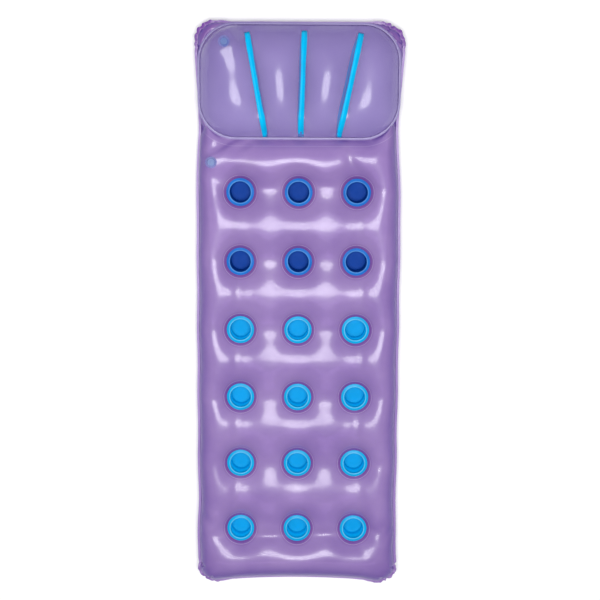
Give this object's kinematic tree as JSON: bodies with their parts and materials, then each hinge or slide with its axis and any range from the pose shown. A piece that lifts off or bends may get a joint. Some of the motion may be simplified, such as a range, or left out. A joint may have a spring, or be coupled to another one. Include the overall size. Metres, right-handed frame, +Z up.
{
  "type": "inflatable pool float",
  "caption": "Inflatable lounge mat with open round pockets through a quilted air chamber, a separate webbed pillow chamber and two push-in valves.",
  "frame": {"origin": "on the floor, under the middle of the mat's seam outline", "axes": "+Y along the mat towards the pillow end, +X across it, +Z up, the lying face up"},
  "size_m": [0.66, 1.8298, 0.1437],
  "materials": {
    "mattress_film": "translucent glossy purple vinyl film, slightly milky",
    "pillow_film": "clear glossy bluish violet vinyl film",
    "pocket_deep_blue": "glossy dark blue vinyl film",
    "pocket_cyan": "glossy cyan vinyl film",
    "web_cyan": "glossy cyan vinyl strip",
    "valve_plastic": "soft pale blue moulded vinyl"
  },
  "bodies": {
    "float": {"mattress_top_sheet": "mattress_film", "mattress_bottom_sheet": "mattress_film", "pillow_top_sheet": "pillow_film", "pocket_left_1": "pocket_deep_blue", "pocket_centre_1": "pocket_deep_blue", "pocket_right_1": "pocket_deep_blue", "pocket_left_2": "pocket_deep_blue", "pocket_centre_2": "pocket_deep_blue", "pocket_right_2": "pocket_deep_blue", "pocket_left_3": "pocket_cyan", "pocket_centre_3": "pocket_cyan", "pocket_right_3": "pocket_cyan", "pocket_left_4": "pocket_cyan", "pocket_centre_4": "pocket_cyan", "pocket_right_4": "pocket_cyan", "pocket_left_5": "pocket_cyan", "pocket_centre_5": "pocket_cyan", "pocket_right_5": "pocket_cyan", "pocket_left_6": "pocket_cyan", "pocket_centre_6": "pocket_cyan", "pocket_right_6": "pocket_cyan", "pillow_web_left": "web_cyan", "mattress_web_left": "web_cyan", "pillow_web_centre": "web_cyan", "mattress_web_centre": "web_cyan", "pillow_web_right": "web_cyan", "mattress_web_right": "web_cyan", "mattress_valve_base": "valve_plastic", "pillow_valve_base": "valve_plastic"},
    "mattress_stem": {"mattress_valve_stem": "valve_plastic"},
    "mattress_cap": {"mattress_valve_cap": "valve_plastic"},
    "mattress_flap": {"mattress_valve_flap": "valve_plastic"},
    "pillow_stem": {"pillow_valve_stem": "valve_plastic"},
    "pillow_cap": {"pillow_valve_cap": "valve_plastic"},
    "pillow_flap": {"pillow_valve_flap": "valve_plastic"}
  },
  "joints": [
    {"name": "mattress_valve_pull", "type": "slide", "parent": "float", "child": "mattress_stem", "axis": [-0.0698, 0, 0.9976], "range_m": [0, 0.0135]},
    {"name": "mattress_cap_hinge", "type": "hinge", "parent": "mattress_stem", "child": "mattress_cap", "pos_m": [-0.28475, 0.473, 0.09925], "axis": [0, -1, 0], "range_deg": [0, 150]},
    {"name": "mattress_flap_hinge", "type": "hinge", "parent": "mattress_stem", "child": "mattress_flap", "pos_m": [-0.27999, 0.473, 0.07422], "axis": [0, 1, 0], "range_deg": [0, 25], "stiffness_Nm_per_rad": 0.002, "springref_deg": -8.59},
    {"name": "pillow_valve_pull", "type": "slide", "parent": "float", "child": "pillow_stem", "axis": [-0.0815, 0.1533, 0.9848], "range_m": [0, 0.0135]},
    {"name": "pillow_cap_hinge", "type": "hinge", "parent": "pillow_stem", "child": "pillow_cap", "pos_m": [-0.23511, 0.8516, 0.13962], "axis": [-0.8829, -0.4695, 0], "range_deg": [0, 150]},
    {"name": "pillow_flap_hinge", "type": "hinge", "parent": "pillow_stem", "child": "pillow_flap", "pos_m": [-0.23165, 0.84511, 0.11523], "axis": [0.8829, 0.4695, 0], "range_deg": [0, 25], "stiffness_Nm_per_rad": 0.002, "springref_deg": -8.59}
  ]
}
